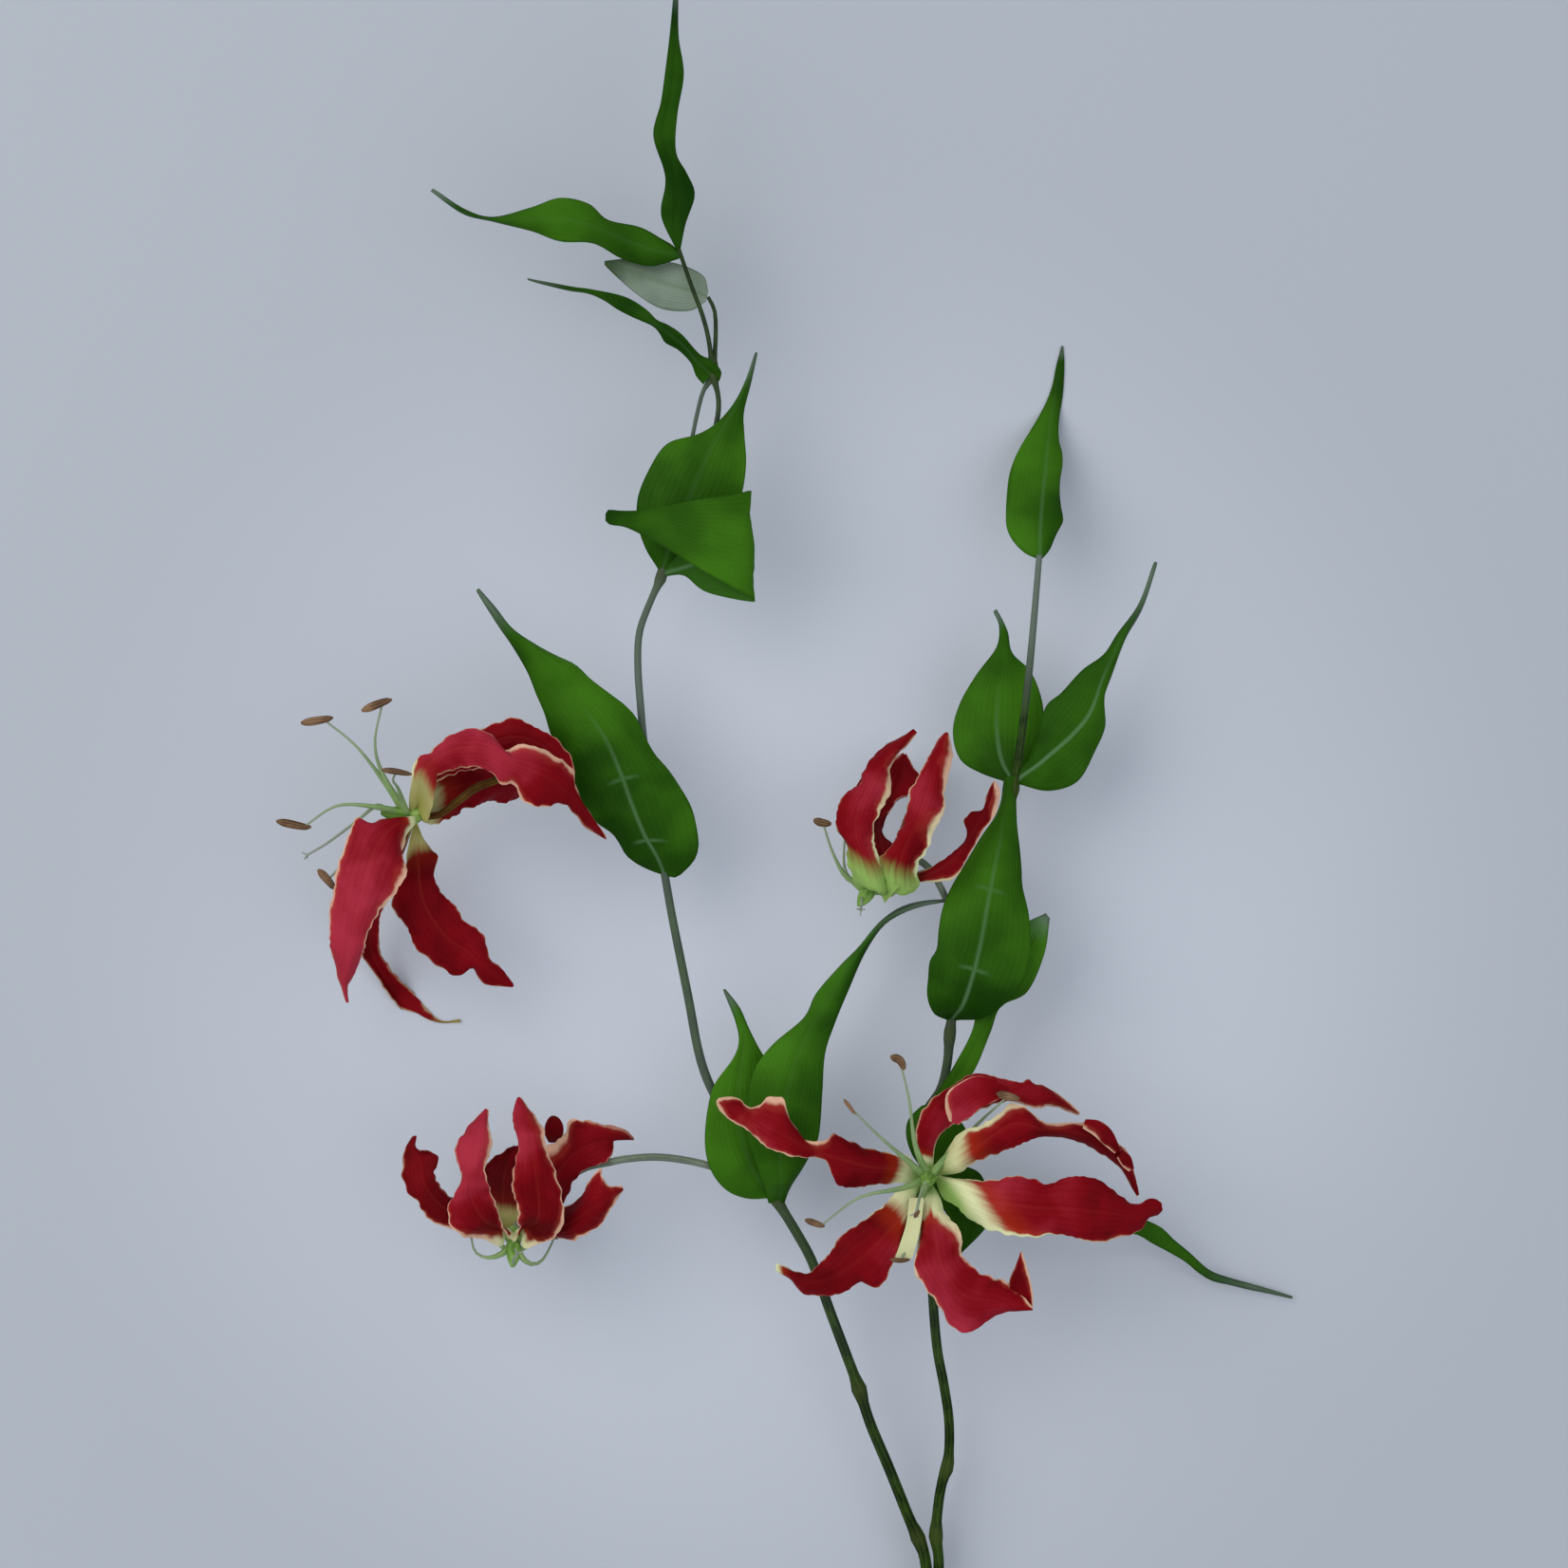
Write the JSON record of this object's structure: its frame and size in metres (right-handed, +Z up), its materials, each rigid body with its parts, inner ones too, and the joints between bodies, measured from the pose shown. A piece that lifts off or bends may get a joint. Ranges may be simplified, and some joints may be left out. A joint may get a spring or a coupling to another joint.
{
  "type": "glory lily spray",
  "caption": "Cut flower spray lying flat: two leafy stems on one cut stalk, with open blooms of six swept-back crimson tepals and long stamens.",
  "frame": {"origin": "on the surface that the spray lies on, in the middle of its length and width", "axes": "+Z up from the surface, +Y along the stems towards their growing tips, +X to the right seen from above with the tips away"},
  "size_m": [0.325, 0.6203, 0.0818],
  "materials": {
    "leaf_green": "satin green leaf",
    "stem_green": "dull dark olive stem",
    "tepal_crimson": "satin crimson tepal with a pale yellow waved edge",
    "stamen_green": "pale green filament, brown anther"
  },
  "bodies": {
    "root": {"stem": "stem_green", "left_leaf_1": "leaf_green", "left_leaf_2": "leaf_green", "left_leaf_3": "leaf_green", "left_leaf_4": "leaf_green", "left_leaf_5": "leaf_green", "left_leaf_6": "leaf_green", "left_leaf_7": "leaf_green", "left_leaf_8": "leaf_green", "left_leaf_9": "leaf_green", "right_leaf_1": "leaf_green", "right_leaf_2": "leaf_green", "right_leaf_3": "leaf_green", "right_leaf_4": "leaf_green", "right_leaf_5": "leaf_green", "right_leaf_6": "leaf_green", "right_leaf_7": "leaf_green", "right_leaf_8": "leaf_green", "bloom_1_tepal_1": "tepal_crimson", "bloom_1_tepal_2": "tepal_crimson", "bloom_1_tepal_3": "tepal_crimson", "bloom_1_tepal_4": "tepal_crimson", "bloom_1_tepal_5": "tepal_crimson", "bloom_1_tepal_6": "tepal_crimson", "bloom_1_stamens": "stamen_green", "bloom_2_tepal_1": "tepal_crimson", "bloom_2_tepal_2": "tepal_crimson", "bloom_2_tepal_3": "tepal_crimson", "bloom_2_tepal_4": "tepal_crimson", "bloom_2_tepal_5": "tepal_crimson", "bloom_2_tepal_6": "tepal_crimson", "bloom_2_stamens": "stamen_green", "bloom_3_tepal_1": "tepal_crimson", "bloom_3_tepal_2": "tepal_crimson", "bloom_3_tepal_3": "tepal_crimson", "bloom_3_tepal_4": "tepal_crimson", "bloom_3_tepal_5": "tepal_crimson", "bloom_3_tepal_6": "tepal_crimson", "bloom_3_stamens": "stamen_green", "bloom_4_tepal_1": "tepal_crimson", "bloom_4_tepal_2": "tepal_crimson", "bloom_4_tepal_3": "tepal_crimson", "bloom_4_tepal_4": "tepal_crimson", "bloom_4_tepal_5": "tepal_crimson", "bloom_4_tepal_6": "tepal_crimson", "bloom_4_stamens": "stamen_green"}
  },
  "joints": []
}
